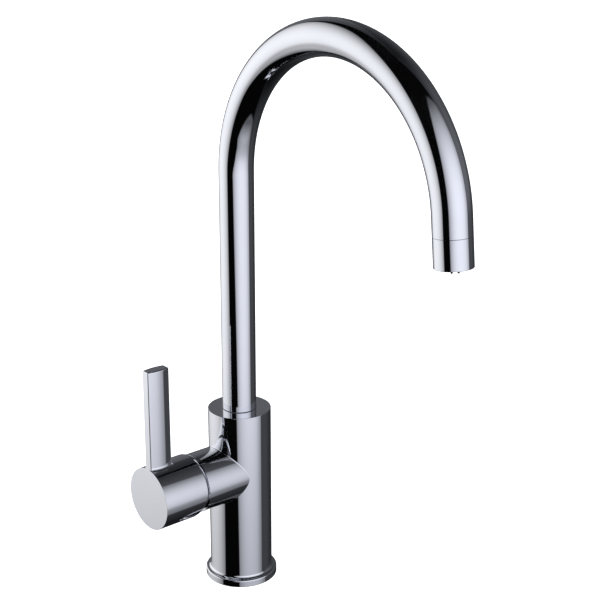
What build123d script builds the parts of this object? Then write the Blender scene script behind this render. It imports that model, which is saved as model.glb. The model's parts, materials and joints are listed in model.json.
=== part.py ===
"""Three way filtered water tap: a one-hole kitchen mixer with a swan neck spout and a side lever.

Millimetres. +Z is up and the deck is the plane z = 0, with the origin at the centre of the base.
The spout points along -Y, towards the user, and the side barrel along -X.
"""

import math
import os

from build123d import *

# ---- clearances ----
running_gap = 0.05  # a shaft that turns in a bore
seat_gap = 0.03  # a piece pushed or screwed into its seat
swing_gap = 0.30  # curved faces that pass each other

# ---- body and base ring ----
body_r = 23.3
body_bottom_z = 2.0
body_top_z = 136.2
body_wall = 3.0
body_edge_chamfer = 0.3
ring_r = 26.9
ring_top_z = 5.6
ring_top_edge_r = 1.1
ring_foot_edge_r = 0.4
cove_r = 2.2
cove_land = 0.15  # the ring's own edge at the top of its cove
gasket_width = 2.6
gasket_thick = 1.2

# ---- side barrel: w is the distance from the tap's axis along -X, and most lengths start at the pivot ----
barrel_z = 87.4
pivot_w = 54.0  # centre of the cover dome, and the lever's tilting axis
stub_r = 21.75
stub_short_of_pivot = 9.6
hub_r = 23.1
hub_behind_pivot = 9.1
hub_relief_spare_deg = 0.5  # the rear under the barrel's axis slants this much more than the lever tilts
hub_past_pivot = 29.2
hub_wall = 1.5
hub_end_wall = 3.5
hub_edge_chamfer = 0.35
socket_behind_pivot = 17.5
socket_bore_r = 18.6

# ---- lever ----
lever_front_past_pivot = 28.6
lever_length = 17.95
lever_end_half = 3.35
lever_half = 4.6  # at the widest place, halfway between the ends
lever_top_z = 184.7
lever_foot_r = 2.5
lever_foot_clear = 1.0  # the foot's fillet leaves out the edges this near the front
lever_edge_r = 1.0
lever_top_edge_r = 1.0
lever_tilt_deg = 20.0

# ---- handle fixing ----
square_side = 8.0
square_clear_of_turret = 3.0
square_length = 17.0
boss_r = 7.5
boss_clear_of_turret = 5.0
grub_r = 2.5
grub_past_pivot = 16.0
grub_length = 8.0
grub_rib_r = 5.0
plug_length = 3.0
hex_across = 2.5

# ---- cartridge ----
seat_behind_pivot = 32.0
case_foot_r = 13.9
case_foot_length = 8.0
case_r = 12.5
case_length = 25.0
case_lip = 1.0
case_bore_r = 11.7
base_plate_thick = 5.0
fixed_disc_thick = 4.0
moving_disc_r = 7.2
moving_disc_thick = 3.5
port_circle_r = 5.0
port_r = 1.6
port_count = 5
port_seal_r = 2.5
port_seal_thick = 1.2
film_gap = 0.05  # water film between the ceramic faces
carrier_r = 7.3
carrier_half = 6.5
carrier_clear_of_flange = 0.6
ball_arm = 12.0  # from the pivot to the spindle's ball end
ball_end_r = 3.0
ball_socket_depth = 4.0
turret_flange_thick = 1.45
turret_r = 9.0
turret_past_pivot = 3.0
turret_slot_half = 6.5
spindle_bar_half = 3.0
spindle_bar_behind_pivot = 4.0
spindle_neck_r = 2.3
pin_r = 1.5
pin_short_of_turret = 0.45
nut_r = 15.0
nut_thick = 6.0
nut_notch_count = 6
nut_notch_r = 1.6

# ---- dome under the handle's ball ----
dome_wall = 1.2
dome_collar_wall = 1.2
dome_clear_of_nut = 1.0
dome_collar_behind_pivot = 9.0
dome_edge_past_pivot = 2.0

# ---- spout ----
tube_r = 12.5
tube_wall = 1.2
tube_bottom_z = 136.6
riser_top_z = 314.7
arch_r = 103.6
arch_deg = 174.4
outlet_straight = 12.25
collar_bore_r = 12.6
chamber_floor_z = 109.0
chamber_r = 11.8
foot_bottom_z = 112.0
foot_plug_length = 13.0
foot_bore_r = 7.5
lower_bush_z = 112.6
lower_bush_h = 3.6
upper_bush_z = 130.8
o_ring_r = 1.0
o_ring_low_z = 118.4
o_ring_high_z = 127.0
o_ring_groove_half = 1.3
retaining_z = 122.3
retaining_groove_half = 1.7
retaining_groove_depth = 1.6
retaining_r = 2.5
retaining_tip_r = 1.4
retaining_recess = 0.6

# ---- filtered waterway ----
inner_tube_r = 4.0
inner_tube_wall = 1.25
inner_socket_z = 99.0
inner_tube_bottom_z = 100.0
inner_seal_z = 104.5
inner_seal_r = 0.9

# ---- outlet: t is the distance past the end of the spout tube, along the flow ----
sleeve_length = 19.35
sleeve_seam = 0.15
sleeve_lip = 1.0
sleeve_lip_bore_r = 10.95
sleeve_bore_r = 11.3
sleeve_edge_r = 0.4
ferrule_depth = 8.0
ferrule_neck = 7.0
ferrule_neck_r = 10.6
ferrule_bore_r = 9.4
spider_hub_r = 5.4
spider_thick = 5.0
spider_arm = 2.4
spider_arms = 3
outlet_gasket_thick = 1.6
screen_thick = 0.4
screen_hole_r = 0.55
nozzle_r = 4.6
nozzle_start_t = 5.0
nozzle_socket = 4.0
nozzle_end_t = 18.0
core_hole_r = 0.8
hole_pitch_per_r = 3.0  # holes stand this many of their radii apart
lug_length = 2.2
lug_width = 1.2
lug_thick = 1.1
lug_angles_deg = (31.0, 54.0)  # from the spout's front, each with a lug opposite

# ---- waterways in the foot of the body ----
block_top_z = 30.0
inlet_circle_r = 10.4
inlet_thread_r = 4.5
inlet_thread_depth = 14.0
inlet_socket_r = 6.0
inlet_socket_length = 18.0
inlet_way_r = 3.0
stud_thread_r = 3.4
stud_thread_depth = 18.0
block_seal_z = 24.0
block_seal_r = 1.1
block_screw_circle_r = 14.8
block_screw_r = 2.0
block_screw_head_r = 3.5
block_screw_head_h = 4.0
block_screw_grip = 9.0
mixed_way_r = 2.2
mixed_way_x = 8.0
way_overrun = 0.6  # how far a drilled way runs past the one it meets

# Angles of the inlets round the base, counted from +X, and of the cartridge's ports, from straight up
inlet_angles_deg = {"hot": 210.0, "cold": 330.0, "filtered": 90.0}
port_step_deg = 360.0 / port_count
port_angles_deg = {
    "filtered_out": 0.0,
    "mixed_out": port_step_deg,
    "filtered": 2 * port_step_deg,
    "hot": 3 * port_step_deg,
    "cold": 4 * port_step_deg,
}

# ---- worked-out sizes ----
shell_bore_r = body_r - body_wall
block_r = shell_bore_r - seat_gap
tube_bore_r = tube_r - tube_wall
foot_r = tube_bore_r - seat_gap
bush_inner_r = foot_r + running_gap
bush_outer_r = collar_bore_r - seat_gap
hub_bore_r = hub_r - hub_wall
dome_r = hub_bore_r - 2 * swing_gap
dome_seat_r = dome_r + swing_gap
inner_tube_bore_r = inner_tube_r - inner_tube_wall
stub_end_w = pivot_w - stub_short_of_pivot
hub_rear_w = pivot_w - hub_behind_pivot
hub_end_w = pivot_w + hub_past_pivot
socket_depth_w = pivot_w - socket_behind_pivot
lever_front_w = pivot_w + lever_front_past_pivot
lever_back_w = lever_front_w - lever_length
lever_widest_w = (lever_front_w + lever_back_w) / 2
turret_end_w = pivot_w + turret_past_pivot
square_start_w = turret_end_w + square_clear_of_turret
square_end_w = square_start_w + square_length
boss_start_w = turret_end_w + boss_clear_of_turret
grub_w = pivot_w + grub_past_pivot
seat_w = pivot_w - seat_behind_pivot
case_foot_w = seat_w + case_foot_length
case_end_w = seat_w + case_length
turret_flange_end_w = case_end_w - case_lip - film_gap
turret_flange_w = turret_flange_end_w - turret_flange_thick
carrier_end_w = turret_flange_w - carrier_clear_of_flange
ball_end_w = pivot_w - ball_arm
ball_socket_floor_w = ball_end_w - ball_socket_depth
spindle_bar_start_w = pivot_w - spindle_bar_behind_pivot
nut_end_w = case_foot_w + nut_thick
dome_collar_start_w = nut_end_w + dome_clear_of_nut
dome_collar_end_w = pivot_w - dome_collar_behind_pivot
dome_edge_w = pivot_w + dome_edge_past_pivot
base_plate_w = seat_w + base_plate_thick
fixed_disc_w = base_plate_w + fixed_disc_thick
moving_disc_w = fixed_disc_w + film_gap
carrier_w = moving_disc_w + moving_disc_thick
arch_end = math.radians(arch_deg)
outlet_start = Vector(
    0,
    -arch_r + arch_r * math.cos(arch_end),
    riser_top_z + arch_r * math.sin(arch_end),
)
flow = Vector(0, -math.sin(arch_end), math.cos(arch_end))
outlet_end = outlet_start + flow * outlet_straight

BARREL = Plane(origin=(0, 0, barrel_z), x_dir=(0, 0, 1), z_dir=(-1, 0, 0))
OUTLET = Plane(origin=outlet_end, x_dir=(1, 0, 0), z_dir=flow)


def rod(radius, low, high):
    """A cylinder about the local Z axis, from low to high."""
    return Pos(0, 0, low) * Cylinder(radius, high - low, align=(Align.CENTER, Align.CENTER, Align.MIN))


def pipe(inner, outer, low, high):
    """A cylinder wall about the local Z axis."""
    return rod(outer, low, high) - rod(inner, low, high)


def bar(width_x, width_y, low, high):
    """A square bar about the local Z axis."""
    return Pos(0, 0, low) * Box(width_x, width_y, high - low, align=(Align.CENTER, Align.CENTER, Align.MIN))


def hexagon_rod(across, low, high):
    """A hexagonal rod about the local Z axis, sized across its flats."""
    face = RegularPolygon(across / 2, 6, major_radius=False)
    return Pos(0, 0, low) * extrude(face, high - low)


def o_ring(centre_r, section_r, height):
    """A round-section ring about the local Z axis."""
    return Pos(0, 0, height) * Torus(centre_r, section_r)


def around(circle_r, angle_deg):
    """A place on a circle about the local Z axis."""
    angle = math.radians(angle_deg)
    return Pos(circle_r * math.cos(angle), circle_r * math.sin(angle), 0)


def port_point(name):
    """Y and Z of a cartridge port in the tap's frame."""
    angle = math.radians(port_angles_deg[name])
    return port_circle_r * math.sin(angle), barrel_z + port_circle_r * math.cos(angle)


def inlet_point(name):
    """X and Y of an inlet in the tap's frame."""
    angle = math.radians(inlet_angles_deg[name])
    return inlet_circle_r * math.cos(angle), inlet_circle_r * math.sin(angle)


def way_along_x(radius, x_from, x_to, y, z):
    """A drilled waterway along X."""
    low, high = sorted((x_from, x_to))
    return Pos(low, y, z) * Rot(0, 90, 0) * rod(radius, 0, high - low)


def way_along_y(radius, y_from, y_to, x, z):
    """A drilled waterway along Y."""
    low, high = sorted((y_from, y_to))
    return Pos(x, low, z) * Rot(-90, 0, 0) * rod(radius, 0, high - low)


def way_along_z(radius, z_from, z_to, x, y):
    """A drilled waterway along Z."""
    return Pos(x, y, 0) * rod(radius, z_from, z_to)


# ---- base and body ----
def make_base_ring():
    """A flange with a rounded edge, swept up to the body by a cove, and a ledge under the body."""
    flange = rod(ring_r, 0, ring_top_z)
    top_edge = flange.edges().filter_by(GeomType.CIRCLE).sort_by(Axis.Z)[-1]
    flange = fillet(top_edge, ring_top_edge_r)
    foot_edge = flange.edges().filter_by(GeomType.CIRCLE).sort_by(Axis.Z)[0]
    flange = fillet(foot_edge, ring_foot_edge_r)
    cove_centre_r = body_r + seat_gap + cove_land + cove_r
    cove_top_z = ring_top_z + cove_r
    cove = rod(cove_centre_r, 0, cove_top_z) - o_ring(cove_centre_r, cove_r, cove_top_z)
    ring = flange + cove
    ring -= rod(body_r + seat_gap, body_bottom_z, cove_top_z)
    ring -= rod(shell_bore_r, 0, body_bottom_z)
    return ring - gasket_groove()


def gasket_groove():
    """The groove in the base ring's underside, midway between its ledge and its edge."""
    middle = (shell_bore_r + ring_r) / 2
    return pipe(middle - gasket_width / 2, middle + gasket_width / 2, 0, gasket_thick)


def make_base_gasket():
    """The rubber ring that fills the groove, flush with the deck."""
    return gasket_groove()


def make_tap_body():
    """The upright cylinder with its side stub, cored for the inlet block, cartridge and spout."""
    body = rod(body_r, body_bottom_z, body_top_z)
    body = chamfer(body.edges().sort_by(Axis.Z)[-1], body_edge_chamfer)
    body += BARREL * rod(stub_r, 0, stub_end_w)
    body -= BARREL * (Pos(0, 0, pivot_w) * Sphere(dome_seat_r))
    body -= BARREL * rod(socket_bore_r, socket_depth_w, pivot_w)
    body -= BARREL * rod(nut_r + seat_gap, case_foot_w, pivot_w)
    body -= BARREL * rod(case_foot_r + seat_gap, seat_w, pivot_w)
    body -= rod(collar_bore_r, lower_bush_z, body_top_z)
    body -= rod(chamber_r, chamber_floor_z, body_top_z)
    body -= rod(shell_bore_r, body_bottom_z, block_top_z)
    body -= waterways()
    body -= retaining_hole()
    for angle in block_screw_angles():
        body -= around(block_screw_circle_r, angle) * rod(block_screw_r, block_top_z, block_top_z + block_screw_grip)
    return body


def waterways():
    """Every drilled way from the inlet block to the cartridge, and from there to the spout."""
    ways = rod(inner_tube_r + running_gap, inner_socket_z, chamber_floor_z)
    seal_groove_r = inner_tube_r + running_gap + 2 * inner_seal_r + seat_gap
    groove_half = inner_seal_r + seat_gap
    ways += rod(seal_groove_r, inner_seal_z - groove_half, inner_seal_z + groove_half)
    y, z = port_point("filtered_out")
    ways += way_along_z(inner_tube_bore_r, z, inner_socket_z, 0, 0)
    ways += way_along_x(port_r, -seat_w, 0, y, z)
    y, z = port_point("mixed_out")
    ways += way_along_x(port_r, -seat_w, mixed_way_x, y, z)
    ways += way_along_z(mixed_way_r, z - port_r - way_overrun, chamber_floor_z, mixed_way_x, y)
    for name in ("hot", "cold", "filtered"):
        x, y = inlet_point(name)
        port_y, port_z = port_point(name)
        ways += way_along_z(inlet_way_r, block_top_z, port_z + port_r + way_overrun, x, y)
        ways += way_along_x(port_r, -seat_w, x + inlet_way_r / 2, port_y, port_z)
        if abs(port_y - y) > inlet_way_r:
            ways += way_along_y(port_r, port_y - 2 * port_r, y, x, port_z)
    return ways


def block_screw_angles():
    """The screws stand midway between the inlets."""
    return [angle + 180.0 for angle in inlet_angles_deg.values()]


def make_inlet_block():
    """The brass block in the foot of the body: three pockets for hose sockets round the stud's socket."""
    block = rod(block_r, body_bottom_z, block_top_z)
    for name in inlet_angles_deg:
        x, y = inlet_point(name)
        pocket_r = inlet_socket_r + seat_gap
        block -= way_along_z(pocket_r, body_bottom_z, body_bottom_z + inlet_socket_length, x, y)
        block -= way_along_z(inlet_way_r, body_bottom_z, block_top_z, x, y)
    block -= rod(stud_thread_r, body_bottom_z, body_bottom_z + stud_thread_depth)
    block -= pipe(block_r - 2 * block_seal_r, block_r, block_seal_z - block_seal_r, block_seal_z + block_seal_r)
    for angle in block_screw_angles():
        place = around(block_screw_circle_r, angle)
        block -= place * rod(block_screw_r, body_bottom_z, block_top_z)
        block -= place * rod(block_screw_head_r + seat_gap, body_bottom_z, body_bottom_z + block_screw_head_h)
    return block


def make_inlet_socket(name):
    """A brass socket for one supply's hose, with a shoulder for its seal, pressed into the block."""
    x, y = inlet_point(name)
    socket = pipe(inlet_way_r, inlet_socket_r, body_bottom_z, body_bottom_z + inlet_socket_length)
    socket -= rod(inlet_thread_r, body_bottom_z, body_bottom_z + inlet_thread_depth)
    return Pos(x, y, 0) * socket


def make_inlet_block_seal():
    """The O-ring round the inlet block."""
    return o_ring(block_r - block_seal_r, block_seal_r, block_seal_z)


def make_inlet_block_screws():
    """Cap screws from under the block into the body."""
    head_top = body_bottom_z + block_screw_head_h
    screw = rod(block_screw_head_r, body_bottom_z, head_top)
    screw += rod(block_screw_r - seat_gap, head_top, block_top_z + block_screw_grip)
    screw -= hexagon_rod(block_screw_head_r, body_bottom_z, body_bottom_z + block_screw_head_h / 2)
    return Compound([around(block_screw_circle_r, angle) * screw for angle in block_screw_angles()])


# ---- spout fixing ----
def retaining_hole():
    """The threaded hole at the back of the body, into the spout's collar."""
    return way_along_y(retaining_r, collar_bore_r / 2, body_r, 0, retaining_z)


def make_spout_retaining_screw():
    """A set screw whose tip runs in the spout foot's groove."""
    tip_y = foot_r - retaining_groove_depth + swing_gap
    shoulder_y = collar_bore_r + swing_gap
    head_y = body_r - retaining_recess
    screw = rod(retaining_tip_r, tip_y, shoulder_y) + rod(retaining_r - seat_gap, shoulder_y, head_y)
    screw -= hexagon_rod(hex_across, head_y - hex_across, head_y)
    return Pos(0, 0, retaining_z) * Rot(-90, 0, 0) * screw


def make_spout_foot():
    """The brass foot in the riser's end, grooved for two O-rings and the retaining screw."""
    foot = pipe(foot_bore_r, foot_r, foot_bottom_z, tube_bottom_z + foot_plug_length)
    for height in (o_ring_low_z, o_ring_high_z):
        groove_floor = collar_bore_r - running_gap - 2 * o_ring_r
        foot -= pipe(groove_floor, foot_r, height - o_ring_groove_half, height + o_ring_groove_half)
    return foot - pipe(
        foot_r - retaining_groove_depth,
        foot_r,
        retaining_z - retaining_groove_half,
        retaining_z + retaining_groove_half,
    )


def make_spout_o_rings():
    """The two O-rings that seal the foot in the body's collar."""
    centre_r = collar_bore_r - running_gap - o_ring_r
    return Compound([o_ring(centre_r, o_ring_r, height) for height in (o_ring_low_z, o_ring_high_z)])


def make_spout_lower_bush():
    """The plastic bush on the collar's shoulder."""
    return pipe(bush_inner_r, bush_outer_r, lower_bush_z, lower_bush_z + lower_bush_h)


def make_spout_upper_bush():
    """The plastic bush in the collar's mouth, with the thin flange that the riser turns on."""
    bush = pipe(bush_inner_r, bush_outer_r, upper_bush_z, body_top_z)
    return bush + pipe(bush_inner_r, tube_r - seat_gap, body_top_z, tube_bottom_z)


# ---- spout ----
def spout_run(end_t, inner, outer, bottom):
    """A wall along the spout's line, from bottom up the riser and over the arch to a distance past the tube's end."""
    riser = pipe(inner, outer, bottom, riser_top_z)
    ring = Pos(0, 0, riser_top_z) * (Circle(outer) - Circle(inner))
    arch_axis = Axis((0, -arch_r, riser_top_z), (1, 0, 0))
    arch = revolve(ring, arch_axis, arch_deg)
    outlet = OUTLET * pipe(inner, outer, -outlet_straight, end_t)
    return riser + arch + outlet


def make_spout_tube():
    """The swan neck: riser, round arch and short straight outlet in one bent tube."""
    return spout_run(0.0, tube_bore_r, tube_r, tube_bottom_z)


def make_filtered_water_tube():
    """The inner tube that keeps filtered water apart, from the body's socket to the nozzle."""
    return spout_run(nozzle_start_t + nozzle_socket, inner_tube_bore_r, inner_tube_r, inner_tube_bottom_z)


def make_filtered_tube_seal():
    """The O-ring in the body's socket, round the inner tube's end."""
    return o_ring(inner_tube_r + running_gap + inner_seal_r, inner_seal_r, inner_seal_z)


# ---- outlet ----
def make_outlet_ferrule():
    """The brass end of the spout: a threaded neck, and a spider that centres the inner tube."""
    ferrule = rod(foot_r, -ferrule_depth, 0) + rod(ferrule_neck_r, 0, ferrule_neck)
    ferrule -= rod(ferrule_bore_r, -ferrule_depth, ferrule_neck)
    spider = rod(spider_hub_r, -ferrule_depth, spider_thick - ferrule_depth)
    for index in range(spider_arms):
        arm = Pos(ferrule_bore_r / 2, 0, -ferrule_depth) * Box(
            ferrule_bore_r + tube_wall, spider_arm, spider_thick, align=(Align.CENTER, Align.CENTER, Align.MIN)
        )
        spider += Rot(0, 0, index * 360 / spider_arms) * arm
    spider -= rod(inner_tube_r + seat_gap, -ferrule_depth, spider_thick - ferrule_depth)
    return OUTLET * (ferrule + spider)


def make_aerator_sleeve():
    """The outer sleeve that screws on the ferrule and carries the aerator."""
    sleeve = rod(tube_r, sleeve_seam, sleeve_length)
    sleeve = fillet(sleeve.edges().sort_by(Axis.Z)[-1], sleeve_edge_r)
    sleeve -= rod(ferrule_neck_r + seat_gap, sleeve_seam, ferrule_neck)
    sleeve -= rod(sleeve_bore_r, ferrule_neck, sleeve_length - sleeve_lip)
    sleeve -= rod(sleeve_lip_bore_r, sleeve_length - sleeve_lip, sleeve_length)
    return OUTLET * sleeve


def make_aerator_gasket():
    """The rubber ring under the ferrule's neck."""
    return OUTLET * pipe(
        ferrule_bore_r, sleeve_bore_r - seat_gap, ferrule_neck, ferrule_neck + outlet_gasket_thick
    )


def hole_rings(inner, outer, hole_r, pitch):
    """Holes in rings between two radii, evenly spread."""
    rings = max(1, int((outer - inner - pitch) / pitch))
    holes = []
    for ring in range(rings):
        circle_r = inner + pitch / 2 + (ring + 0.5) * (outer - inner - pitch) / rings
        count = int(2 * math.pi * circle_r / pitch)
        holes += [(circle_r, 360 * index / count) for index in range(count)]
    return [around(circle_r, angle) * Circle(hole_r) for circle_r, angle in holes]


def perforated_disc(inner, outer, hole_r, low, high):
    """A disc with a centre hole and rings of small holes."""
    face = Circle(outer) - Circle(inner)
    face -= hole_rings(inner, outer, hole_r, hole_pitch_per_r * hole_r)
    return Pos(0, 0, low) * extrude(face, high - low)


def make_aerator_screen():
    """The thin steel screen over the aerator."""
    low = ferrule_neck + outlet_gasket_thick
    return OUTLET * perforated_disc(
        nozzle_r + seat_gap, sleeve_bore_r - seat_gap, screen_hole_r, low, low + screen_thick
    )


def make_aerator_core():
    """The honeycomb insert, with two pairs of key lugs that stand out under the sleeve's rim."""
    low = ferrule_neck + outlet_gasket_thick + screen_thick
    high = sleeve_length - sleeve_lip
    core = perforated_disc(nozzle_r + seat_gap, sleeve_bore_r - seat_gap, core_hole_r, low, high)
    lug_r = sleeve_lip_bore_r - seat_gap - lug_thick / 2
    for angle in lug_angles_deg:
        for side in (0, 180):
            lug = Pos(0, lug_r, high) * Box(
                lug_width, lug_thick, lug_length, align=(Align.CENTER, Align.CENTER, Align.MIN)
            )
            lug &= rod(sleeve_lip_bore_r - seat_gap, high, high + lug_length)
            core += Rot(0, 0, angle + side) * lug
    return OUTLET * core


def make_filtered_nozzle():
    """The centre nozzle, pushed on the inner tube's end."""
    nozzle = pipe(inner_tube_bore_r, nozzle_r, nozzle_start_t, nozzle_end_t)
    return OUTLET * (nozzle - rod(inner_tube_r + seat_gap, nozzle_start_t, nozzle_start_t + nozzle_socket))


# ---- cartridge ----
def ports(radius, low, high):
    """The five port holes, along the barrel."""
    return [around(port_circle_r, angle) * rod(radius, low, high) for angle in port_angles_deg.values()]


def make_cartridge_base():
    """The plate that feeds the ceramic discs, with a pocket for a seal at each port."""
    plate = rod(case_bore_r - seat_gap, seat_w, base_plate_w)
    plate -= ports(port_r, seat_w, base_plate_w)
    plate -= ports(port_seal_r + seat_gap, seat_w, seat_w + port_seal_thick)
    return BARREL * plate


def make_cartridge_base_seals():
    """The rubber rings between the plate and the body's seat."""
    ring = pipe(port_r, port_seal_r, seat_w, seat_w + port_seal_thick)
    return Compound([BARREL * (around(port_circle_r, angle) * ring) for angle in port_angles_deg.values()])


def make_cartridge_fixed_disc():
    """The lower ceramic disc, which stays still."""
    disc = rod(case_bore_r - seat_gap, base_plate_w, fixed_disc_w)
    disc -= ports(port_r, base_plate_w, fixed_disc_w)
    return BARREL * disc


def make_cartridge_moving_disc():
    """The upper ceramic disc, with the pocket that joins the ports as it slides."""
    disc = rod(moving_disc_r, moving_disc_w, carrier_w)
    disc -= rod(moving_disc_r - port_r, moving_disc_w, moving_disc_w + moving_disc_thick / 2)
    return BARREL * disc


def make_cartridge_disc_carrier():
    """The plastic slide on the moving disc, with flats between the turret's cheeks."""
    carrier = rod(carrier_r, carrier_w, carrier_end_w)
    carrier &= bar(2 * carrier_r, 2 * carrier_half, carrier_w, carrier_end_w)
    carrier -= rod(ball_end_r + swing_gap, ball_socket_floor_w, carrier_end_w)
    return BARREL * carrier


def make_cartridge_case():
    """The cartridge's outer case, with a wider foot and a lip over the turret."""
    case = rod(case_foot_r, seat_w, case_foot_w) + rod(case_r, seat_w, case_end_w)
    case -= rod(case_bore_r, seat_w, case_end_w - case_lip)
    case -= rod(turret_r + swing_gap, seat_w, case_end_w)
    return BARREL * case


def make_cartridge_turret():
    """The turning guide: a flange in the case, cheeks that drive the carrier and a slotted neck."""
    flange_r = case_bore_r - swing_gap
    turret = rod(flange_r, turret_flange_w, turret_flange_end_w) + rod(turret_r, turret_flange_w, turret_end_w)
    cheek_start_w = carrier_w + swing_gap
    cheeks = rod(flange_r, cheek_start_w, turret_flange_w)
    cheeks -= bar(2 * flange_r, 2 * (carrier_half + swing_gap), cheek_start_w, turret_flange_w)
    turret += cheeks
    turret -= bar(2 * turret_slot_half, 2 * (spindle_bar_half + running_gap), turret_flange_w, turret_end_w)
    turret -= BARREL.to_local_coords(pin_hole(pin_r))
    return BARREL * turret


def pin_hole(radius):
    """The tilting axis: a hole along Y through the pivot."""
    return way_along_y(radius, -turret_r, turret_r, -pivot_w, barrel_z)


def make_cartridge_pivot_pin():
    """The pin that the spindle tilts on."""
    reach = turret_r - pin_short_of_turret
    return way_along_y(pin_r - seat_gap, -reach, reach, -pivot_w, barrel_z)


def make_cartridge_spindle():
    """The spindle: ball end in the carrier, flat bar on the pin and a square end in the handle."""
    spindle = Pos(0, 0, ball_end_w) * Sphere(ball_end_r)
    spindle += rod(spindle_neck_r, ball_end_w, spindle_bar_start_w)
    spindle += bar(square_side, 2 * spindle_bar_half, spindle_bar_start_w, square_start_w)
    spindle += bar(square_side, square_side, square_start_w, square_end_w)
    return BARREL * spindle - pin_hole(pin_r + running_gap)


def make_cartridge_nut():
    """The ring nut on the case's foot, with notches for its spanner."""
    nut = pipe(case_r + seat_gap, nut_r, case_foot_w, nut_end_w)
    for index in range(nut_notch_count):
        notch = around(nut_r, index * 360 / nut_notch_count)
        nut -= notch * rod(nut_notch_r, (case_foot_w + nut_end_w) / 2, nut_end_w)
    return BARREL * nut


def make_cover_dome():
    """The polished dome that shows in the gap while the lever is tilted."""
    ball = Pos(0, 0, pivot_w) * (Sphere(dome_r) - Sphere(dome_r - dome_wall))
    collar_r = case_r + seat_gap + dome_collar_wall
    dome = ball & rod(hub_r, pivot_w - math.sqrt(dome_r**2 - collar_r**2), dome_edge_w)
    dome += rod(collar_r, dome_collar_start_w, dome_collar_end_w) & (Pos(0, 0, pivot_w) * Sphere(dome_r))
    return BARREL * (dome - rod(case_r + seat_gap, dome_collar_start_w, pivot_w))


# ---- handle ----
def lever_blade():
    """The upright lever: flat ends and sides that bulge in one arc, with all upright and top edges rounded."""
    side = ThreePointArc((-lever_front_w, lever_end_half), (-lever_widest_w, lever_half), (-lever_back_w, lever_end_half))
    front = Line((-lever_front_w, -lever_end_half), (-lever_front_w, lever_end_half))
    back = Line((-lever_back_w, -lever_end_half), (-lever_back_w, lever_end_half))
    plan = make_face([side, side.mirror(Plane.XZ), front, back])
    blade = Pos(0, 0, barrel_z) * extrude(plan, lever_top_z - barrel_z)
    blade = fillet(blade.edges().filter_by(Axis.Z), lever_edge_r)
    return fillet(blade.faces().sort_by(Axis.Z)[-1].edges(), lever_top_edge_r)


def hub_relief():
    """A wedge in the barrel's frame: all that lies behind the slanted part of the hub's rear."""
    reach = 2 * hub_r
    rise = reach * math.tan(math.radians(lever_tilt_deg + hub_relief_spare_deg))
    corners = [(reach, hub_rear_w - rise), (-reach, hub_rear_w + rise), (-reach, hub_rear_w - rise)]
    return extrude(Plane.XZ * make_face(Polyline(*corners, close=True)), reach, both=True)


def make_handle():
    """The hub, its rear slanted under the axis, and the upright lever, hollow, with a boss for the spindle."""
    hub = rod(hub_r, hub_rear_w, hub_end_w)
    hub = chamfer(hub.edges().sort_by(Axis.Z)[-1], hub_edge_chamfer) - hub_relief()
    handle = BARREL * hub + lever_blade()
    sides = Pos(-lever_widest_w, 0, barrel_z + hub_r) * Box(lever_length - 2 * lever_foot_clear, 4 * lever_half, hub_r)
    foot_edges = [edge for edge in handle.edges() if sides.is_inside(edge.center()) and edge.length > lever_half]
    handle = fillet(foot_edges, lever_foot_r)
    cavity_end_w = hub_end_w - hub_end_wall
    cavity = rod(hub_bore_r, pivot_w, cavity_end_w) + Pos(0, 0, pivot_w) * Sphere(hub_bore_r)
    boss = rod(boss_r, boss_start_w, cavity_end_w)
    rib = Pos(0, 0, grub_w) * Rot(0, -90, 0) * rod(grub_rib_r, 0, hub_bore_r)
    handle -= BARREL * (cavity - boss - rib)
    handle -= BARREL * bar(square_side + 2 * seat_gap, square_side + 2 * seat_gap, boss_start_w, square_end_w)
    return handle - grub_line(rod(grub_r, 0, hub_r))


def grub_line(shape):
    """Places a shape on the grub screw's line: its Z runs from the barrel's axis straight down."""
    return BARREL * (Pos(0, 0, grub_w) * Rot(0, -90, 0) * shape)


def make_handle_grub_screw():
    """The set screw that clamps the handle on the spindle's square."""
    start = square_side / 2
    screw = rod(grub_r - seat_gap, start, start + grub_length)
    return grub_line(screw - hexagon_rod(hex_across, start + grub_length - hex_across, start + grub_length))


def make_handle_plug():
    """The small plug that closes the grub screw's hole, under the handle."""
    plug = rod(grub_r - seat_gap, hub_r - plug_length, hub_r)
    plug &= Rot(0, 90, 0) * Pos(0, 0, -hub_r) * rod(hub_r, 0, 2 * hub_r)
    return grub_line(plug)


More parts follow.
